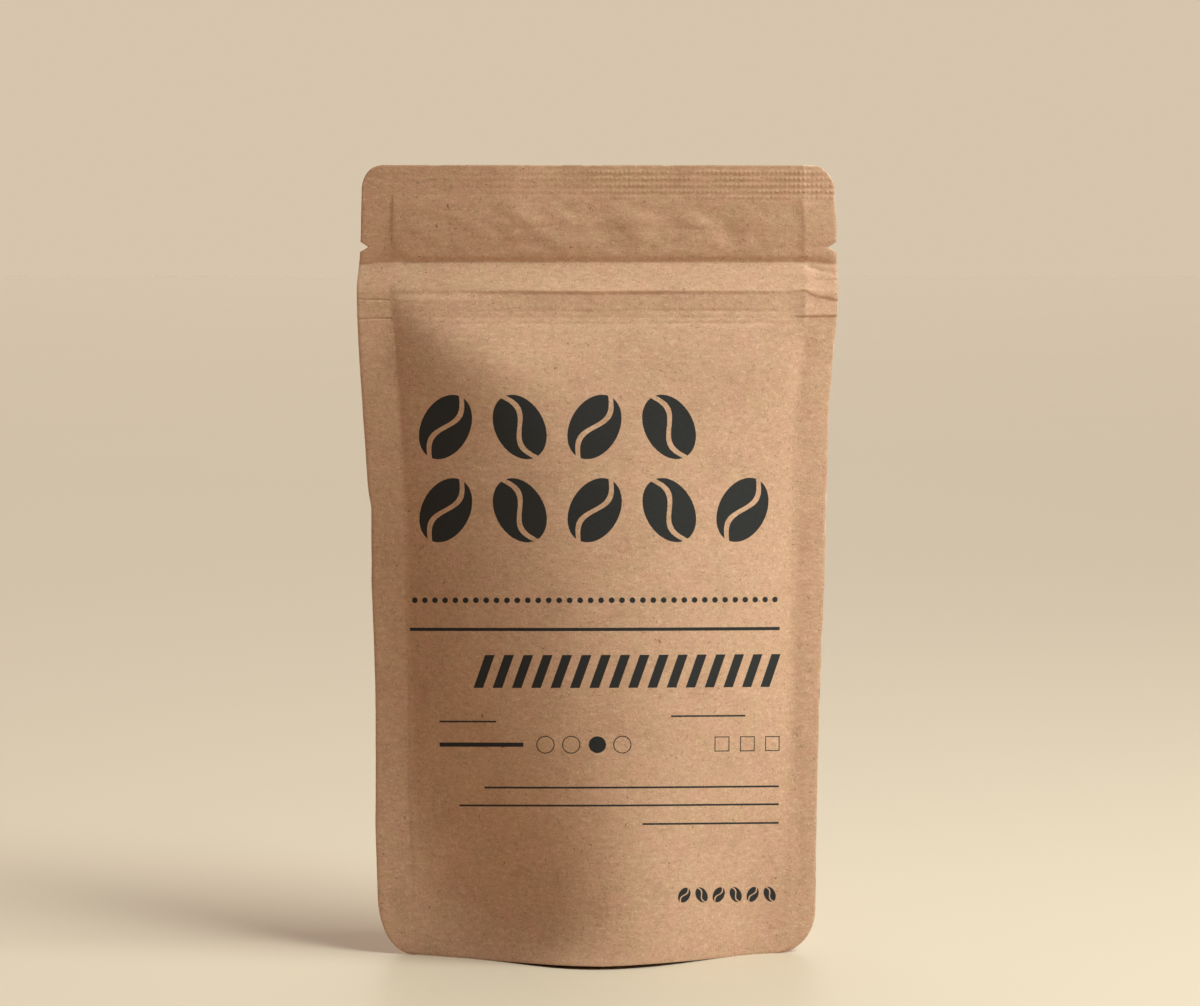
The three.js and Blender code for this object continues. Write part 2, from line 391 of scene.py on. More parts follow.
# Suns: way, power, colour and spread in degrees
KEY_SUN = (KEY_WAY, 2.59, KEY_COLOUR, 32)
BACK_SUN = ((0.0, 0.5, 0.87), 1.1, (1.0, 0.92, 0.83), 90)
SIDE_SUN = ((1.0, -0.3, 0.0), 1.25, (0.2, 0.66, 1.0), 60)
REAR_SUN = ((-0.5, 0.5, 0.71), 1.5, KEY_COLOUR, 30)
SUN_DISTANCE = 3

# Camera: the photograph's frame is 1200 pixels wide
CAMERA_PLACE = (-0.014, -0.80, 0.1815)
CAMERA_TILT = 0.0826
CAMERA_PAN = 0.0182
FOCAL_PIXELS = 3184
FRAME_WIDTH = 1200


def smoothstep(value, start, end):
    share = np.clip((value - start) / (end - start), 0, 1)
    return share * share * (3 - 2 * share)


def within(value, start, end):
    """1 within a span and 0 outside it, smooth between."""
    return smoothstep(value, *start) * (1 - smoothstep(value, *end))


def lerp(a, b, share):
    return a + (b - a) * share


def bump(value, middle, width):
    """A smooth bump of height 1."""
    return np.exp(-(((value - middle) / width) ** 2))


def crests(value):
    """Even waves from 0 to 1, with a crest at each whole number."""
    return 0.5 + 0.5 * np.cos(2 * math.pi * value)


def ramp_down(z, top, foot):
    """0 above a top, 1 below a foot, even between."""
    return np.clip((top - z) / (top - foot), 0, 1)


def course(place, points):
    """The value of a course at a place."""
    return np.interp(place, *zip(*points))


def by_side(t, z, left, right):
    """The value of the course on the side where t lies."""
    return np.where(t < 0, course(z, left), course(z, right))


def noise(u, v, seed):
    """Smooth noise from -1 to 1 on a plane, with one random value at each whole number."""
    lattice = np.random.default_rng(seed).uniform(-1, 1, (LATTICE, LATTICE))
    u, v = np.broadcast_arrays(u, v)
    iu, iv = np.floor(u).astype(int), np.floor(v).astype(int)
    fu, fv = u - iu, v - iv
    fu = fu ** 3 * (fu * (6 * fu - 15) + 10)
    fv = fv ** 3 * (fv * (6 * fv - 15) + 10)

    def row(step):
        line = (iv + step) % LATTICE
        return lerp(lattice[iu % LATTICE, line], lattice[(iu + 1) % LATTICE, line], fu)

    return lerp(row(0), row(1), fv)


def ripples(u, v, size, seed):
    """Noise with a size, which is its height and its lengths along u and v."""
    height, along_u, along_v = size
    return height * noise(u / along_u, v / along_v, seed)


def waves(u, parts, seed=0):
    """Noise along a line. Its parts have a height, a length and a seed, to which another is added."""
    middle = 0.5 + 0 * u
    return sum(height * noise(u / length, middle, seed + own) for height, length, own in parts)


def belly_depth(z):
    """How far the middle of a filled panel stands out from the seals, below the zip."""
    below = np.clip(1 - z / ZIP_FOOT, 0, 1)
    opened = (1 - np.exp(-below / BELLY_OPENING)) / (1 - math.exp(-1 / BELLY_OPENING))
    return ZIP_FOOT_DEPTH + (FOOT_DEPTH - ZIP_FOOT_DEPTH) * opened


def middle_depth(z):
    """The same at any height."""
    header = ZIP_TOP_DEPTH * (1 - smoothstep(z, *HEADER_FALL))
    upper = np.where(z < ZIP_TOP, course(z, ZIP_DEPTHS), header)
    return np.where(z < ZIP_FOOT, belly_depth(z), upper)


def section(across, z):
    """A panel's section between the seals: a bow at the foot, an arc at the belly, flat at the zip."""
    rise = np.clip((z - SQUARE_FROM) / (ZIP_FOOT - SQUARE_FROM), 0, 1)
    power = 2 + SQUARENESS * rise ** SQUARE_LATE
    bow = 1 - smoothstep(z, 0, BOW_HEIGHT)
    shifted = across - BOW_SHIFT * bow * (1 - across ** 2)
    ridge = crests(shifted / 2) ** BOW_FULLNESS
    return lerp(1 - np.abs(shifted) ** power, ridge, bow)


def full_half_width(z):
    """Half the width before corners and notches: a sheet that bulges draws its edges in."""
    belly = np.where(z < ZIP_FOOT, belly_depth(z), 0)
    drawn = DRAW_IN * belly ** 2 / PANEL_HALF
    return HALF_WIDTH - drawn - HEADER_PULL * smoothstep(z, ZIP_LIP, ZIP_TOP + TOP_SEAL)


def corner_cut(corner, past, roundness):
    across, up = corner
    share = np.clip(past / up, 0, 1)
    return across * (1 - (1 - share ** roundness) ** (1 / roundness))


def edge_cut(z, side):
    """What the corners and the tear notches take off the half width."""
    foot = corner_cut(FOOT_CORNERS[side], FOOT_CORNERS[side][1] - z, ARC)
    top = corner_cut(TOP_CORNER, z - (HEIGHT - TOP_CORNER[1]), TOP_ROUNDNESS[side])
    notch = NOTCH_DEPTH * np.maximum(0, 1 - np.abs(z - NOTCH_HEIGHT) / (NOTCH_MOUTH / 2))
    return foot + top + notch


def edge_wander(z, side):
    """The small wander of a side edge, outwards if positive. The foot stays true."""
    wander = course(z, (LEFT_EDGE, RIGHT_EDGE)[side]) + waves(z, EDGE_WAVES, side)
    return wander * smoothstep(z, *EDGE_FROM)


def seal_width(t, z):
    return by_side(t, z, LEFT_SEAL, RIGHT_SEAL)


def side_edges(z):
    """X of the left and the right cut edge before corners and notches."""
    full = full_half_width(z)
    return -full - edge_wander(z, 0), full + edge_wander(z, 1)


def seal_edges(z):
    """X of the inner edges of the left and the right seal."""
    left, right = side_edges(z)
    return left + seal_width(-1, z), right - seal_width(1, z)


def place_across(t, z):
    """X at a place t across the pouch: -2 and 2 are the cut edges, -1 and 1 the seals' inner edges."""
    left, right = side_edges(z)
    left_seal, right_seal = seal_edges(z)
    panel_x = lerp(left_seal, right_seal, (np.clip(t, -1, 1) + 1) / 2)
    left_fin = lerp(left + edge_cut(z, 0), left_seal, np.clip(t + 2, 0, 1))
    right_fin = lerp(right_seal, right - edge_cut(z, 1), np.clip(t - 1, 0, 1))
    return np.where(t < -1, left_fin, np.where(t > 1, right_fin, panel_x))


def right_crease_lines(out, jog):
    """Heights of the four creases of the zip's right end, out being the share of the seal's width."""
    upper = lerp(*UPPER_CREASE, out) + jog
    middle = lerp(*MIDDLE_CREASE, np.minimum(1, MIDDLE_HASTE * out)) - jog
    lower = lerp(*LOWER_CREASE, out ** LOWER_CURVE) + jog
    return upper, middle, lower, FOOT_CREASE + jog / 2


def right_zip_end(out, z, jog):
    """Facets of the crushed zip in the right seal, forward if positive, and depth of its creases."""
    lines = right_crease_lines(out, jog)
    upper, middle, lower, foot = lines
    edges = (END_TOP, upper, middle, lower, lower - LOWER_DROP, foot, foot - FOOT_DROP)
    facets = sum(rise * ramp_down(z, *ends) for rise, *ends in zip(END_RISES, edges, edges[1:]))
    facets = facets * (1 - smoothstep(z, foot, foot - END_FADE))
    depths = (lerp(*UPPER_DEPTHS, smoothstep(out, *UPPER_CHANGE)), *LOWER_DEPTHS)
    rows = zip(lines, depths, CREASE_REACHES)
    return facets, sum(depth * bump(z, line, reach) for line, depth, reach in rows)


def left_zip_end(z, jog):
    """The same for the left seal."""
    top, foot, end = LEFT_END
    facet = LEFT_END_RISE * ramp_down(z, top, foot) * (1 - smoothstep(z, foot, end))
    height, depth, reach = LEFT_CREASE
    return facet, depth * (bump(z, height + jog, reach) + bump(z, foot - jog, reach))


def crushed(t, facets, creases, starts):
    """Facets with creases in them, which set in over their own places across."""
    facets_from, creases_from = starts
    return facets * smoothstep(t, *facets_from) - creases * smoothstep(t, *creases_from)


def zip_ends(t, x, z):
    """The crushed ends of the zip in the side seals, forward if positive: facets between creases."""
    jog = waves(x, END_JOG)
    uneven = END_EVEN + ripples(x, z, END_WAVES, END_SEED)
    facets, creases = right_zip_end(np.clip(t - 1, 0, 1), z, jog)
    right = crushed(t, facets, creases * uneven, RIGHT_END_FROM)
    facets, creases = left_zip_end(z, jog)
    left = crushed(-t, facets, creases * uneven, LEFT_END_FROM)
    along, height, reach, rise = END_BULGE
    return left + right + rise * bump(x, along, reach) * bump(z, height, reach)


def pressed_ridges(x, z):
    """The top seal's ridges and their dashes, sharper towards the right."""
    below = (HEIGHT - RIDGE_FIRST - z) / RIDGE_PITCH
    ridge = RIDGE_HEIGHT * within(below, *PRESSED_SPAN) * crests(below)
    dash = lerp(DASH_GAP, 1.0, crests(x / DASH_PITCH))
    sharpness = lerp(FAINT_SHARE, 1.0, smoothstep(x, *FAINT_END))
    return ridge * dash * sharpness * (RIDGE_EVEN + ripples(x, z, RIDGE_WAVES, RIDGE_SEED))


def fold_path(x, z):
    """How far back the seals lie at a height: folded back at the top of the zip, then forward again."""
    above = np.maximum(0, z - ZIP_TOP)
    lean = HEADER_LEAN + LEFT_LEAN * (1 - smoothstep(x, *LEFT_LEAN_END))
    header = lean * above + HEADER_BEND * (1 - np.exp(-above / HEADER_BEND_LENGTH))
    curve = lerp(FOLD_CURVE, 1, smoothstep(x, *FOLD_CURVE_END))
    return FOLD_BACK * np.clip((z - ZIP_LIP) / (ZIP_TOP - ZIP_LIP), 0, 1) ** curve - header


def corner_bend(x, z):
    """How far forward the bent right foot corner lies."""
    forward, height = CORNER_BEND
    return forward * np.clip(1 - z / height, 0, 1) ** CORNER_CURVE * smoothstep(x, *CORNER_FROM)


def seal_plane(t, x, z):
    """Y of the plane in which the two panels are sealed together."""
    foot_bow = np.where(t < 0, *FOOT_BOW)
    bow = lerp(foot_bow, SIDE_BOW, smoothstep(z, 0, FOOT_BOW_HEIGHT)) * (x / HALF_WIDTH) ** 2
    fin = np.clip(np.abs(t) - 1, 0, 1)
    curl = RIGHT_CURL * (t > 0) * (1 - smoothstep(z, *RIGHT_CURL_END))
    sweep = by_side(t, z, LEFT_SWEEP, RIGHT_SWEEP) * fin * lerp(1, fin, curl) * SIDE_SEAL
    fold = fold_path(x, z + FOLD_DROOP * smoothstep(fin, 0, 1))
    ripple = ripples(x, z, SEAL_RIPPLES, RIPPLE_SEED) * smoothstep(fin, *RIPPLES_FROM)
    forward = corner_bend(x, z) + zip_ends(t, x, z) + pressed_ridges(x, z)
    return bow + sweep + fold + ripple - forward


def header_ridge(x, z, start, end):
    """A soft ridge between two places, steeper on its lower side, of height 1."""
    run, drop = end[0] - start[0], start[1] - end[1]
    length = math.hypot(run, drop)
    above = ((x - start[0]) * drop + (z - start[1]) * run) / length
    share = ((x - start[0]) * run - (z - start[1]) * drop) / length ** 2
    upper, lower = (bump(above, 0, width) for width in RIDGE_SIDES)
    return within(share, *RIDGE_SPAN) * np.where(above > 0, upper, lower)


def dents(across, x, z, seed):
    """Soft dents of the header and faint ones of the belly, outwards if positive."""
    slant_u, slant_v = SLANT_COSINE * x - SLANT_SINE * z, SLANT_SINE * x + SLANT_COSINE * z
    header = ripples(slant_u, slant_v, SLANTED_DENTS, seed) + ripples(x, z, SMALL_DENTS, seed + 1)
    header = header + sum(rise * header_ridge(x, z, *ends) for *ends, rise in HEADER_RIDGES)
    header = header * within(z, *HEADER_SPAN)
    broad, small = (ripples(x, z, size, seed + 2 + i) for i, size in enumerate(BELLY_DENTS))
    belly = (broad + small) * within(z, *BELLY_SPAN)
    return header * (1 - across ** 8) + belly * (1 - across ** 2)


def zip_relief(across, x, z, seed):
    """The zip's lip and grooves, outwards if positive."""
    wander = waves(x, LIP_WANDER, seed)
    above = z - ZIP_LIP + wander
    lip = np.where(above > 0, np.exp(-np.maximum(above, 0) / LIP_FADE), smoothstep(above, -LIP_DROP, 0))
    lip = lip * course(x, LIP_ALONG_X) * (1 + waves(x, LIP_WAVES, seed))
    lip = LIP_STEP * lip * (1 - smoothstep(z, *LIP_END))
    groove = sum(depth * bump(z + wander, height, GROOVE_WIDTH) for height, depth in GROOVES)
    strength = course(x, GROOVES_ALONG_X) * (GROOVE_EVEN + ripples(x, z, GROOVE_WAVES, seed + 3))
    return (lip - groove * strength) * (1 - across ** 16)


def foot_lift(across, z):
    """How far the lower edge of a panel is off the ground, fading upwards."""
    fade = np.clip(1 - z / FOOT_LIFT_HEIGHT, 0, 1) ** 2
    return FOOT_LIFT * fade * smoothstep(1 - np.abs(across - FOOT_LIFT_MIDDLE), *FOOT_LIFT_FROM)


def foot_flare(x, z):
    """How far the left of the front panel spreads forward at the foot."""
    forward, height = FOOT_FLARE
    return forward * within(x, *FLARE_SPAN) * np.clip(1 - z / height, 0, 1) ** 2


def from_cut(t, z):
    """Distance from the nearest cut edge of the paper."""
    from_side = np.clip(2 - np.abs(t), 0, 1) * seal_width(t, z)
    return np.minimum(from_side, np.minimum(HEIGHT - z, z))


def half_sheet(t, z):
    """Half the thickness of the sealed sheets, softened at the cut edges."""
    return SHEET / 2 * lerp(CUT_SHARE, 1.0, np.clip(from_cut(t, z) / CHAMFER, 0, 1))


def soft_section(t, z):
    """The section, rounded off where a panel leaves the seals."""
    seal = seal_width(t, z) / PANEL_HALF
    fillet = by_side(t, z, LEFT_FILLET, RIGHT_FILLET) / PANEL_HALF
    place = np.clip(t, -1, 1) + np.sign(t) * seal * np.clip(np.abs(t) - 1, 0, 1)
    shifts = np.linspace(-1, 1, FILLET_STEPS)
    return sum(section(np.clip(place + shift * fillet, -1, 1), z) for shift in shifts) / FILLET_STEPS


def depth_share(t, z):
    """Share of its full depth that a panel has: more at the left shoulder, less at the zip's left."""
    share, height, reach = SHOULDER
    shoulder = share * (1 - smoothstep(t, *SHOULDER_END)) * bump(z, height, reach)
    flat = STRIP_FLAT * smoothstep(z, *STRIP_FLAT_FROM) * (1 - smoothstep(t, *STRIP_FLAT_END))
    return 1 + shoulder - flat


def under_facet(depth, x, z):
    """The depth, kept softly under the flat facet that the sheet makes beside the left seal."""
    past = x - seal_edges(z)[0] + FACET_START
    most = course(z, LEFT_FACET) * np.maximum(LEAST_FACET, past)
    depth = np.maximum(LEAST_DEPTH, depth)
    return (depth ** -FACET_CRISPNESS + most ** -FACET_CRISPNESS) ** (-1 / FACET_CRISPNESS)


def right_crease(x, z):
    """Depth of the crease along the right seal's inner edge."""
    past = x - seal_edges(z)[1]
    on_panel, on_seal = CREASE_WIDTHS
    share = np.where(past > 0, np.exp(-np.maximum(past, 0) / on_seal), bump(past, 0, on_panel))
    return course(z, RIGHT_CREASE) * share


def header_step(t, z):
    """The height of the header's panels over the left seal, and of the right one's edge over them."""
    curl = LEFT_STEP_CURL * (1 - smoothstep(z, *CURL_END))
    left = LEFT_STEP * smoothstep((t + 1) * PANEL_HALF - curl, -STEP_WIDTH, STEP_WIDTH)
    left = left * (LEFT_STEP_EVEN + ripples(z, t, LEFT_STEP_WAVES, STEP_SEED))
    right = RIGHT_STEP * smoothstep((t - 1) * PANEL_HALF, -RIGHT_STEP_WIDTH, STEP_WIDTH)
    return within(z, *STEP_SPAN) * (left + right) * (1 - np.clip(t - 1, 0, 1))


def panel(t, z, side):
    """Points of a panel at places t across and heights z: the front for side -1, the back for 1."""
    across = np.clip(t, -1, 1)
    x = place_across(t, z)
    seed = PANEL_SEEDS[side]
    inside = under_facet(middle_depth(z) * soft_section(t, z) * depth_share(t, z), x, z)
    inside = inside + header_step(t, z) + dents(across, x, z, seed)
    inside = inside + zip_relief(across, x, z, seed + ZIP_SEED)
    inside = inside + foot_flare(x, z) * (side < 0) - right_crease(x, z)
    y = seal_plane(t, x, z) + side * (half_sheet(t, z) + inside)
    return np.stack(np.broadcast_arrays(x, y, z + foot_lift(across, z)), axis=-1)


def sheet_height(points):
    """Heights of the front panel's points on the flat sheet that was printed."""
    y, z = points[..., 1], points[..., 2]
    return z + PRINT_LIFT * (PRINT_TOP - z) * y


def stations(split):
    """Places across a panel, with each step of the coarse ones divided into split."""
    seal = np.linspace(0, 1, SEAL_STEPS + 1)
    seal = np.sort(np.append(seal, [CHAMFER / SIDE_SEAL, 1 - STEP_WIDTH / SIDE_SEAL]))
    step = STEP_WIDTH / PANEL_HALF
    left = np.append(seal - 2, [step / 2 - 1, step - 1])
    inner = np.linspace(-1, 1, PANEL_STEPS + 1)[1:-1]
    coarse = np.concatenate([left, inner, -left[::-1]])
    steps = (len(coarse) - 1) * split
    return np.interp(np.arange(steps + 1) / split, np.arange(len(coarse)), coarse)


def spaced(values, least):
    """The values in order, without those that lie closer than the least step to the one before."""
    kept = []
    for value in sorted(values):
        if not kept or value - kept[-1] > least:
            kept.append(value)
    return np.array(kept)


def heights():
    """Heights of the rings below the pressed ridges, and those across the ridges."""
    turn = np.linspace(0, math.pi / 2, CORNER_STEPS + 1)
    corner = FOOT_CORNERS[0][1]
    notch = NOTCH_HEIGHT + NOTCH_MOUTH / 2 * np.linspace(-1, 1, NOTCH_STEPS + 1)
    ridges_foot = HEIGHT - RIDGE_FIRST - (RIDGE_COUNT - 0.5) * RIDGE_PITCH
    low = [
        FOOT_CUT * np.arange(FOOT_RINGS),
        corner * (1 - np.cos(turn)),
        np.arange(corner, SHOULDER_FROM, BELLY_STEP),
        np.arange(SHOULDER_FROM, ZIP_FROM, SHOULDER_STEP),
        np.arange(ZIP_FROM, ZIP_TOP - ZIP_STEP, ZIP_STEP),
        [ZIP_TOP, ZIP_TOP + FOLD_STEP],
        np.arange(HEADER_FROM, notch[0] - RING_MARGIN, HEADER_STEP),
        notch,
        np.arange(notch[-1] + HEADER_STEP, ridges_foot - RING_MARGIN, HEADER_STEP),
    ]
    top = HEIGHT - CHAMFER
    high = np.arange(ridges_foot, top - TOP_MARGIN, RIDGE_PITCH / RIDGE_STEPS)
    return spaced(np.concatenate(low), LEAST_STEP), np.append(high, [top, HEIGHT])


def panel_rings(z, split):
    """A closed ring for each height, along the front and then back along the back. Each point has its
    place, its distance from a cut edge and, on the front, its height on the flat sheet."""
    t, z = stations(split)[None, :], z[:, None]
    front, back = panel(t, z, -1), panel(t, z, 1)
    edge = from_cut(t, z)[..., None]
    front = np.concatenate([front, edge, sheet_height(front)[..., None]], axis=-1)
    back = np.concatenate([back, edge, np.full_like(edge, NO_PRINT)], axis=-1)
    return list(np.concatenate([front, back[:, ::-1]], axis=1))


def gusset_ring(foot, inset, lift):
    """The foot's edge drawn in by inset, as a share of the way to its middle line, and lifted."""
    x, y = foot[:, 0], foot[:, 1]
    middle, half = (y + y[::-1]) / 2, np.abs(y - y[::-1]) / 2
    opened = smoothstep(half, SHEET / 2, GUSSET_OPENING)
    y = lerp(y, middle, np.maximum(inset, np.minimum(0.5, RIM / half)))
    wrinkle = ripples(x, y, GUSSET_WRINKLES, GUSSET_SEED) * (lift > 0)
    z = foot[:, 2] + (lift + wrinkle) * opened
    x = x * (1 - GUSSET_NARROWING * (1 + inset))
    return np.stack([x, y, z, np.full_like(x, FAR_FROM_CUT), np.full_like(x, NO_PRINT)], axis=-1)


def gusset_rings(foot):
    """From the gusset's middle fold out to the flat rim of the foot."""
    shares = np.linspace(*GUSSET_SHARES)
    floor_rings = [gusset_ring(foot, s, GUSSET_LIFT * (1 - (1 - s) ** GUSSET_CURVE)) for s in shares]
    fold = gusset_ring(foot, 1 - GUSSET_CREASE, GUSSET_LIFT + GUSSET_FOLD)
    return [fold, *floor_rings, gusset_ring(foot, 0, 0)]


def join_rings(low, low_count, high, high_count):
    """Faces between two rings, given their first vertex and size. The upper one may be finer."""
    half_low, half_high = low_count // 2, high_count // 2
    split = (half_high - 1) // (half_low - 1)
    faces = []
    for side in (0, 1):
        for i in range(half_low - 1):
            a = low + side * half_low + i
            end = high + side * half_high + (i + 1) * split
            faces.append([a, a + 1, *range(end, end - split - 1, -1)])
    cut_right = [low + half_low - 1, low + half_low, high + half_high, high + half_high - 1]
    cut_left = [low + low_count - 1, low, high, high + high_count - 1]
    return faces, [cut_right, cut_left]


def close_ring(first, count, upwards):
    """Faces that join the front of an end ring to its back."""
    faces = []
    for i in range(count // 2 - 1):
        face = [first + i, first + i + 1, first + count - 2 - i, first + count - 1 - i]
        faces.append(face if upwards else face[::-1])
    return faces


def pouch_faces(rings, gusset_count):
    """Faces of the paper, and those of its cut edges."""
    starts = np.cumsum([0] + [len(ring) for ring in rings])
    paper, cut = [], []
    for i in range(len(rings) - 1):
        faces, ends = join_rings(starts[i], len(rings[i]), starts[i + 1], len(rings[i + 1]))
        on_rim = i in (gusset_count - 1, gusset_count)
        (cut if on_rim else paper).extend(faces)
        cut.extend(ends)
    paper.extend(close_ring(0, len(rings[0]), upwards=False))
    cut.extend(close_ring(starts[-2], len(rings[-1]), upwards=True))
    return paper, cut


def pouch_mesh():
    """The whole pouch as one closed mesh. Its second material is for the cut edges of the paper."""
    low, high = heights()
    body = panel_rings(low, 1)
    gusset = gusset_rings(body[0])
    rings = gusset + body + panel_rings(high, DASH_STEPS)
    paper, cut = pouch_faces(rings, len(gusset))
    mesh = bpy.data.meshes.new("pouch_paper")
    points = np.concatenate(rings)
    mesh.from_pydata(points[:, :3] * MM, [], [[int(v) for v in f] for f in paper + cut])
    for name, column in (("from_cut", 3), ("sheet_height", 4)):
        mesh.attributes.new(name, "FLOAT", "POINT").data.foreach_set("value", points[:, column])
    mesh.polygons.foreach_set("material_index", [0] * len(paper) + [1] * len(cut))
    mesh.shade_smooth()
    mesh.set_sharp_from_angle(angle=SHARP_ANGLE)
    mesh.update()
    return mesh


class Maths:
    """Arithmetic in a node tree between sockets and plain numbers."""

    def __init__(self, tree):
        self.tree = tree

    def node(self, kind, **values):
        made = self.tree.nodes.new(kind)
        for name, value in values.items():
            setattr(made, name, value)
        return made

    def feed(self, socket, value):
        if isinstance(value, bpy.types.NodeSocket):
            self.tree.links.new(value, socket)
        else:
            socket.default_value = value

    def __call__(self, operation, *values, clamp=False):
        made = self.node("ShaderNodeMath", operation=operation, use_clamp=clamp)
        for socket, value in zip(made.inputs, values):
            self.feed(socket, value)
        return made.outputs[0]

    def joined(self, operation, values):
        """One value made of all of them, such as the largest one or the sum."""
        total = values[0]
        for value in values[1:]:
            total = self(operation, total, value)
        return total

    def mix(self, share, a, b):
        made = self.node("ShaderNodeMix", data_type="RGBA")
        self.feed(made.inputs["Factor"], share)
        for name, value in (("A", a), ("B", b)):
            socket = next(s for s in made.inputs if s.name == name and s.type == "RGBA")
            self.feed(socket, (*value, 1) if isinstance(value, tuple) else value)
        return next(s for s in made.outputs if s.type == "RGBA")

    def ramp(self, value, start, end):
        """0 up to start, 1 past end, smooth between. Start may be the higher one."""
        made = self.node("ShaderNodeMapRange", interpolation_type="SMOOTHSTEP")
        for name, number in (("Value", value), ("From Min", start), ("From Max", end)):
            self.feed(made.inputs[name], number)
        return made.outputs["Result"]

    def stretched(self, place, size, turn=0.0):
        """The place, turned in the plane of the panels and counted in steps of a size."""
        made = self.node("ShaderNodeMapping", vector_type="TEXTURE")
        self.feed(made.inputs["Vector"], place)
        made.inputs["Scale"].default_value = size
        made.inputs["Rotation"].default_value = (0, turn, 0)
        return made.outputs["Vector"]

    def noise(self, place, scale=1.0, detail=2.0, roughness=0.55, distortion=0.0):
        made = self.node("ShaderNodeTexNoise")
        self.feed(made.inputs["Vector"], place)
        numbers = {"Scale": scale, "Detail": detail, "Roughness": roughness, "Distortion": distortion}
        for name, value in numbers.items():
            made.inputs[name].default_value = value
        return made.outputs["Fac"]


class Print:
    """Shapes of ink on the front panel, each as a mask from 0 to 1."""

    def __init__(self, maths, x, z):
        self.maths, self.x, self.z = maths, x, z

    def filled(self, distance):
        """1 where a distance from an outline, in millimetres, is inside it."""
        return self.maths("MULTIPLY_ADD", distance, -1 / PRINT_SOFT, 0.5, clamp=True)

    def bar(self, left, right, height, half):
        m = self.maths
        across = m("ABSOLUTE", m("SUBTRACT", self.x, (left + right) / 2))
        beyond_end = m("SUBTRACT", across, (right - left) / 2)
        beyond_side = m("SUBTRACT", m("ABSOLUTE", m("SUBTRACT", self.z, height)), half)
        return self.filled(m("MAXIMUM", beyond_end, beyond_side))

    def length(self, dx, dz):
        m = self.maths
        return m("SQRT", m("ADD", m("MULTIPLY", dx, dx), m("MULTIPLY", dz, dz)))

    def from_middle(self, x, height):
        m = self.maths
        return self.length(m("SUBTRACT", self.x, x), m("SUBTRACT", self.z, height))

    def disc(self, x, height, radius):
        return self.filled(self.maths("SUBTRACT", self.from_middle(x, height), radius))

    def outline(self, distance):
        return self.filled(self.maths("SUBTRACT", self.maths("ABSOLUTE", distance), STROKE / 2))

    def circle(self, x, height, radius):
        return self.outline(self.maths("SUBTRACT", self.from_middle(x, height), radius))

    def square(self, x, height, half):
        m = self.maths
        dx = m("ABSOLUTE", m("SUBTRACT", self.x, x))
        dz = m("ABSOLUTE", m("SUBTRACT", self.z, height))
        return self.outline(m("SUBTRACT", m("MAXIMUM", dx, dz), half))

    def along(self, left, pitch, count):
        """The number of the place along a row, and the distance from its middle."""
        m = self.maths
        steps = m("DIVIDE", m("SUBTRACT", self.x, left), pitch)
        number = m("MINIMUM", m("MAXIMUM", m("FLOOR", steps), 0), count - 1)
        offset = m("MULTIPLY", m("SUBTRACT", m("SUBTRACT", steps, number), 0.5), pitch)
        return number, offset

    def dot_row(self, left, right, height, count, radius):
        m = self.maths
        _, dx = self.along(left, (right - left) / count, count)
        reach = self.length(dx, m("SUBTRACT", self.z, height))
        return self.filled(m("SUBTRACT", reach, radius))

    def slant_row(self, left, right, height, half, count):
        """Slanted bars in a row, each as wide as the gap beside it."""
        m = self.maths
        up = m("SUBTRACT", self.z, height)
        leaned = Print(m, m("MULTIPLY_ADD", up, -SLANT, self.x), self.z)
        pitch = (right - left) / count
        _, dx = leaned.along(left, pitch, count)
        beyond_end = m("SUBTRACT", m("ABSOLUTE", dx), pitch / 4)
        return self.filled(m("MAXIMUM", beyond_end, m("SUBTRACT", m("ABSOLUTE", up), half)))

    def bean_row(self, left, height, count, size):
        """Coffee beans in a row, tilted in turn to either side, each with a wavy split."""
        m = self.maths
        number, dx = self.along(left, BEAN_PITCH * size, count)
        dz = m("SUBTRACT", self.z, height)
        turn = m("MULTIPLY_ADD", m("MODULO", number, 2), -2, 1)
        sine = m("MULTIPLY", turn, math.sin(BEAN_TILT))
        across = m("SUBTRACT", m("MULTIPLY", dx, math.cos(BEAN_TILT)), m("MULTIPLY", dz, sine))
        along = m("ADD", m("MULTIPLY", dx, sine), m("MULTIPLY", dz, math.cos(BEAN_TILT)))
        short, long = BEAN_SHORT * size, BEAN_LONG * size
        tall = m("DIVIDE", along, long)
        reach = self.length(m("DIVIDE", across, short), tall)
        outside = m("MULTIPLY", m("SUBTRACT", reach, 1), short)
        wave = m("MULTIPLY", m("SINE", m("MULTIPLY", tall, math.pi)), BEAN_WAVE * short)
        split = m("SUBTRACT", BEAN_SPLIT * short, m("ABSOLUTE", m("SUBTRACT", across, wave)))
        return self.filled(m("MAXIMUM", outside, split))

    def everything(self):
        shapes = [self.bean_row(PRINT_LEFT, height, count, 1) for height, count in BEAN_ROWS]
        shapes.append(self.dot_row(PRINT_LEFT, PRINT_RIGHT, *DOT_LINE))
        shapes.extend(self.bar(*line) for line in LINES)
        height, half, left, count = SLANT_BAND
        shapes.append(self.slant_row(left, PRINT_RIGHT, height, half, count))
        height, places, chosen, radius = ROAST_DOTS
        for i, x in enumerate(places):
            draw = self.disc if i == chosen else self.circle
            shapes.append(draw(x, height, radius))
        height, places, half = TICK_BOXES
        shapes.extend(self.square(x, height, half) for x in places)
        height, count, size = FOOT_BEANS
        shapes.append(self.bean_row(PRINT_RIGHT - count * BEAN_PITCH * size, height, count, size))
        return self.maths.joined("MAXIMUM", shapes)


def new_material(name):
    """A material with only its Principled shader, and the arithmetic of its tree."""
    material = bpy.data.materials.new(name)
    material.use_nodes = True
    shader = next(n for n in material.node_tree.nodes if n.type == "BSDF_PRINCIPLED")
    return material, shader, Maths(material.node_tree)


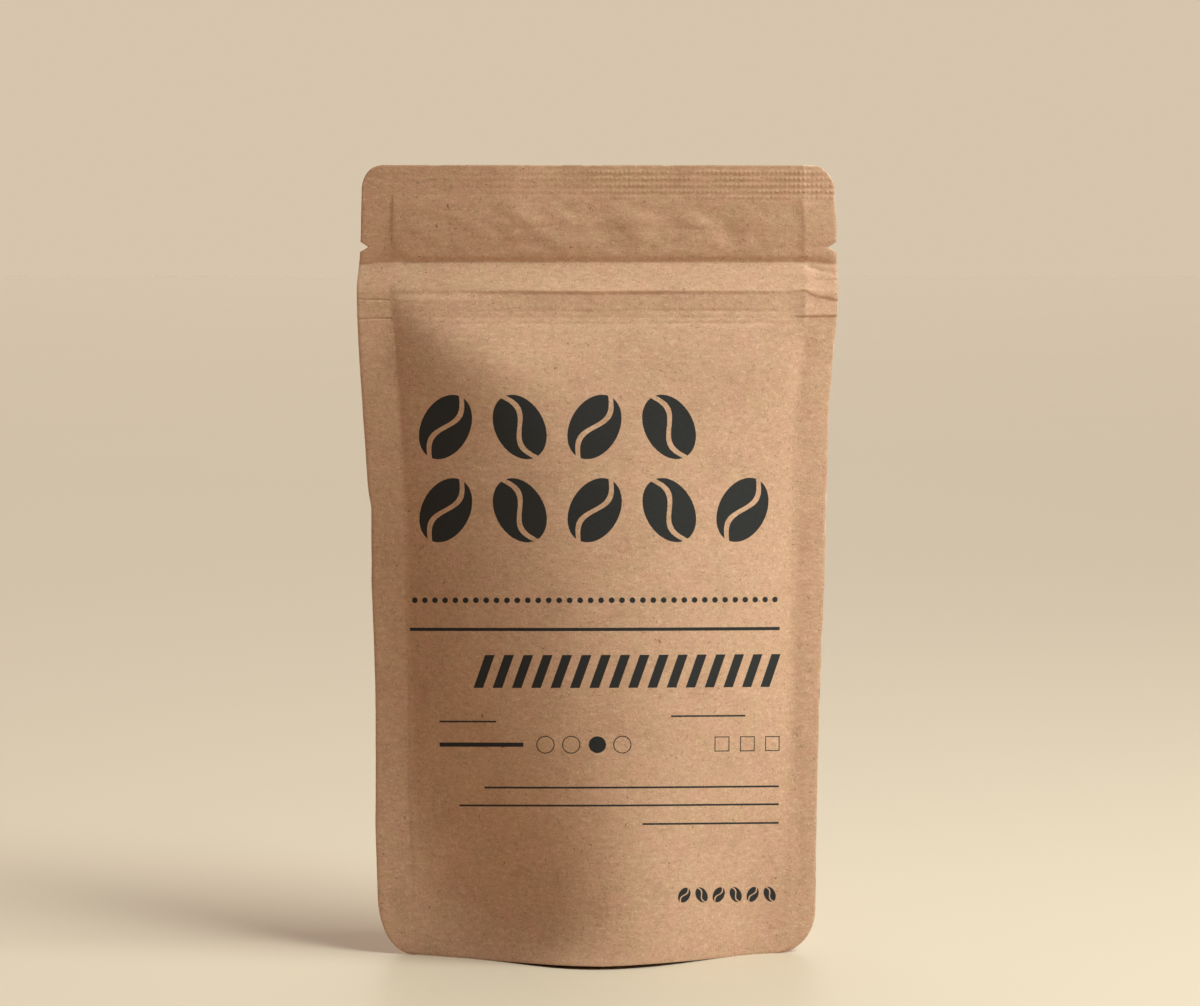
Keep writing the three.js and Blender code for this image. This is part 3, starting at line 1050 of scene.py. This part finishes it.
def coat(maths, shader, colour, roughness, shine):
    maths.feed(shader.inputs["Base Color"], colour)
    maths.feed(shader.inputs["Roughness"], roughness)
    maths.feed(shader.inputs["Specular IOR Level"], shine)


def millimetres(maths):
    """The place on the object in millimetres."""
    place = maths.node("ShaderNodeTexCoord").outputs["Object"]
    return maths.stretched(place, (MM, MM, MM))


def paper_patterns(maths, place):
    """Noises of the paper, from broad ones to its light flecks and dark hollows."""
    flecks = [maths.noise(maths.stretched(place, FLECK, turn), detail=1) for turn in FLECK_TURNS]
    return {
        "tint": maths.noise(place, 0.19, detail=3),
        "mottle": maths.noise(place, 0.11, detail=5, roughness=0.62),
        "streaks": maths.noise(maths.stretched(place, STREAK)),
        "grain": maths.noise(place, 2.2, detail=3, roughness=0.6),
        "lumps": maths.noise(maths.stretched(place, LUMP)),
        "flecks": maths.joined("MAXIMUM", flecks),
        "hollows": maths.joined("MAXIMUM", [maths("SUBTRACT", 1, fleck) for fleck in flecks]),
    }


def kraft_tones(maths, place):
    """Colour of the paper, and its height in millimetres."""
    patterns = paper_patterns(maths, place)
    colour = maths.mix(maths.ramp(patterns["tint"], *TINT_RANGE), KRAFT_OLIVE, KRAFT_ROSE)
    for name, start, end, strength, other in TONES:
        share = maths("MULTIPLY", maths.ramp(patterns[name], start, end), strength)
        colour = maths.mix(share, colour, other)
    colour = maths.mix(hairs(maths, place), colour, FIBRE_DARK)
    parts = [maths("MULTIPLY", patterns[name], depth) for name, depth in RELIEF]
    return colour, maths.joined("ADD", parts)


def hairs(maths, place):
    """Sparse dark fibres: short stretches of thin wandering lines."""
    line = maths.noise(maths.stretched(place, HAIR, HAIR_TURN), detail=1, distortion=1.5)
    thin = maths.ramp(maths("ABSOLUTE", maths("SUBTRACT", line, 0.5)), *HAIR_THIN)
    patches = maths.ramp(maths.noise(place, 0.5, detail=1), *HAIR_PATCHES)
    return maths("MULTIPLY", maths("MULTIPLY", thin, patches), HAIR_STRENGTH)


def attribute(maths, name):
    return maths.node("ShaderNodeAttribute", attribute_name=name).outputs["Fac"]


def worn_edge(maths, place, colour):
    """The colour with the paper's pale core showing in places along its cut edges."""
    patches = maths.ramp(maths.noise(place, 0.2, detail=5), *WEAR_PATCHES)
    past = maths("SUBTRACT", attribute(maths, "from_cut"), maths("MULTIPLY", patches, WEAR_REACH))
    worn = maths("MULTIPLY", maths.ramp(past, *WEAR_FADE), WEAR_STRENGTH)
    return maths.mix(worn, colour, PAPER_CORE)


def printed(maths, place, colour):
    """The colour with the print on it. The ink bleeds a little into the paper."""
    across = maths.node("ShaderNodeSeparateXYZ")
    maths.feed(across.inputs["Vector"], place)
    bleed = maths("MULTIPLY", maths("SUBTRACT", maths.noise(place, 3.0), 0.5), INK_BLEED)
    x = maths("ADD", across.outputs["X"], bleed)
    z = maths("ADD", attribute(maths, "sheet_height"), bleed)
    ink = Print(maths, x, z).everything()
    return maths.mix(maths("MULTIPLY", ink, INK_SHARE), colour, INK)


def kraft_paper():
    material, shader, maths = new_material("kraft_paper")
    place = millimetres(maths)
    colour, height = kraft_tones(maths, place)
    colour = printed(maths, place, worn_edge(maths, place, colour))
    coat(maths, shader, colour, PAPER_ROUGHNESS, PAPER_SHINE)
    relief = maths.node("ShaderNodeBump")
    relief.inputs["Strength"].default_value = 1.0
    relief.inputs["Distance"].default_value = MM
    maths.feed(relief.inputs["Height"], height)
    maths.feed(shader.inputs["Normal"], relief.outputs["Normal"])
    return material


def cut_edge():
    """The paper's pale core, with fine layers along the edge."""
    material, shader, maths = new_material("kraft_cut_edge")
    place = millimetres(maths)
    layers = maths.noise(maths.stretched(place, LAYER))
    colour = maths.mix(maths.ramp(layers, *LAYER_RANGE), KRAFT_OLIVE, PAPER_CORE)
    grain = maths.ramp(maths.noise(place, 3.0, detail=3), *EDGE_GRAIN)
    colour = maths.mix(maths("MULTIPLY", grain, EDGE_GRAIN_STRENGTH), colour, KRAFT_DARK)
    coat(maths, shader, colour, EDGE_ROUGHNESS, PAPER_SHINE)
    return material


def pouch():
    piece = bpy.data.objects.new("pouch_paper", pouch_mesh())
    bpy.context.collection.objects.link(piece)
    piece.data.materials.append(kraft_paper())
    piece.data.materials.append(cut_edge())
    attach(piece, "root")
    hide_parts(NODE)
    return piece


def floor():
    mesh = bpy.data.meshes.new("studio_floor")
    half = FLOOR_SIZE / 2
    corners = [(-half, -half, 0), (half, -half, 0), (half, half, 0), (-half, half, 0)]
    mesh.from_pydata(corners, [], [(0, 1, 2, 3)])
    piece = bpy.data.objects.new("studio_floor", mesh)
    bpy.context.collection.objects.link(piece)
    material, shader, maths = new_material("pale_floor")
    cloud = maths.noise(maths.node("ShaderNodeTexCoord").outputs["Object"], 2.0, detail=3)
    pale = tuple(c * FLOOR_CLOUD for c in FLOOR_COLOUR)
    coat(maths, shader, maths.mix(cloud, FLOOR_COLOUR, pale), FLOOR_ROUGHNESS, FLOOR_SHINE)
    mesh.materials.append(material)


def lamp(name, kind, way, distance, power, colour):
    """A light that shines on the middle of the pouch from a distance along a way."""
    light = bpy.data.lights.new(name, kind)
    light.energy = power
    light.color = colour
    piece = bpy.data.objects.new(name, light)
    bpy.context.collection.objects.link(piece)
    middle = Vector((0, 0, HEIGHT * MM / 2))
    piece.location = middle + Vector(way).normalized() * distance
    piece.rotation_euler = Vector(way).to_track_quat("Z", "Y").to_euler()
    return piece


def sun(name, way, power, colour, spread):
    piece = lamp(name, "SUN", way, SUN_DISTANCE, power, colour)
    piece.data.angle = math.radians(spread)
    return piece


def studio_world():
    """A pale backdrop to look at, and a dim light from all sides."""
    world = bpy.data.worlds.new("studio")
    world.use_nodes = True
    maths = Maths(world.node_tree)
    out = next(n for n in world.node_tree.nodes if n.type == "OUTPUT_WORLD")
    seen = next(n for n in world.node_tree.nodes if n.type == "BACKGROUND")
    seen.inputs["Color"].default_value = (*BACKDROP, 1)
    soft = maths.node("ShaderNodeBackground")
    soft.inputs["Color"].default_value = (*AMBIENT, 1)
    both = maths.node("ShaderNodeMixShader")
    maths.feed(both.inputs[0], maths.node("ShaderNodeLightPath").outputs["Is Diffuse Ray"])
    maths.feed(both.inputs[1], seen.outputs["Background"])
    maths.feed(both.inputs[2], soft.outputs["Background"])
    maths.feed(out.inputs["Surface"], both.outputs["Shader"])
    bpy.context.scene.world = world


def studio_light(lit):
    """A soft key from the right and front, partly near, and a softer one from behind. Two more fall on
    the lit piece alone: a weak cool one from the right, and one on its back."""
    sun("key", *KEY_SUN)
    near = lamp("near_key", "AREA", KEY_WAY, NEAR_DISTANCE, NEAR_POWER, KEY_COLOUR)
    near.data.shape = "DISK"
    near.data.size = NEAR_SIZE
    sun("back", *BACK_SUN)
    side = sun("side", *SIDE_SUN)
    rear = sun("rear", *REAR_SUN)
    group = bpy.data.collections.new("lit_alone")
    group.objects.link(lit)
    for piece in (side, rear):
        piece.light_linking.receiver_collection = group
    bpy.context.scene.view_settings.view_transform = "Standard"


def camera():
    data = bpy.data.cameras.new("camera")
    data.sensor_fit = "HORIZONTAL"
    data.lens = FOCAL_PIXELS / FRAME_WIDTH * data.sensor_width
    thing = bpy.data.objects.new("camera", data)
    bpy.context.collection.objects.link(thing)
    thing.location = CAMERA_PLACE
    thing.rotation_euler = (math.pi / 2 - CAMERA_TILT, 0, -CAMERA_PAN)
    bpy.context.scene.camera = thing


camera()
floor()
studio_world()
studio_light(pouch())
